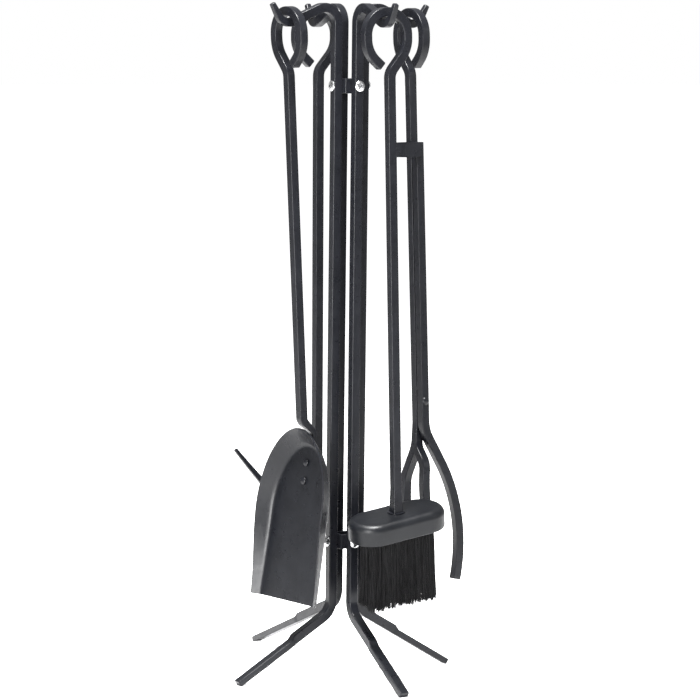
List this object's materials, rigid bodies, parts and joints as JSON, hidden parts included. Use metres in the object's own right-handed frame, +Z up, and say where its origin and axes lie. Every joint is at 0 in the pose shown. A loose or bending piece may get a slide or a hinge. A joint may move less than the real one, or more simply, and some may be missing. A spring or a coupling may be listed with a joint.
{
  "type": "fireplace tool set",
  "caption": "Free-standing black bar stand whose outward hooks hold a brush, a shovel, a poker with a side spur and pivoting tongs by their ring handles.",
  "frame": {"origin": "on the floor under the middle of the whole set's outline; the stand's upright axis is at x -1.8 mm, y -36.4 mm", "axes": "+Z up along the stand; the brush hangs on -Y of the stand, the shovel on -X, the tongs on +X and the poker on +Y"},
  "size_m": [0.2696, 0.3387, 0.7347],
  "materials": {
    "black_bar": "satin black powder coat on forged square bar",
    "black_sheet": "satin black powder coat on pressed sheet",
    "zinc_screw": "bright zinc-plated pan head",
    "block_black": "satin black painted block",
    "bristle_black": "dense black fibre bristles"
  },
  "bodies": {
    "stand": {"upright_brush": "black_bar", "upright_shovel": "black_bar", "upright_poker": "black_bar", "upright_tongs": "black_bar", "upper_spacer": "black_bar", "lower_spacer": "black_bar", "upper_screws": "zinc_screw", "lower_screws": "zinc_screw"},
    "brush": {"brush_handle": "black_bar", "brush_collar": "black_bar", "brush_block": "block_black", "brush_bristles": "bristle_black"},
    "shovel": {"shovel_handle": "black_bar", "shovel_pan": "black_sheet", "shovel_rivets": "black_bar"},
    "poker": {"poker_bar": "black_bar", "poker_spur": "black_bar"},
    "tongs": {"tongs_main_bar": "black_bar", "tongs_side_prong": "black_bar", "tongs_pivot_rivet": "black_bar"},
    "tongs_lever": {"tongs_lever_bar": "black_bar", "tongs_guide_loop": "black_bar"}
  },
  "joints": [
    {"name": "brush_lift", "type": "slide", "parent": "stand", "child": "brush", "axis": [0, -0.5, 0.866], "range_m": [0, 0.12]},
    {"name": "shovel_lift", "type": "slide", "parent": "stand", "child": "shovel", "axis": [-0.5, 0, 0.866], "range_m": [0, 0.12]},
    {"name": "poker_lift", "type": "slide", "parent": "stand", "child": "poker", "axis": [0, 0.5, 0.866], "range_m": [0, 0.12]},
    {"name": "tongs_lift", "type": "slide", "parent": "stand", "child": "tongs", "axis": [0.5, 0, 0.866], "range_m": [0, 0.12]},
    {"name": "tongs_pivot", "type": "hinge", "parent": "tongs", "child": "tongs_lever", "pos_m": [0.08307, -0.04982, 0.30121], "axis": [-0.0593, 0.9977, -0.0332], "range_deg": [0, 2.5]}
  ]
}
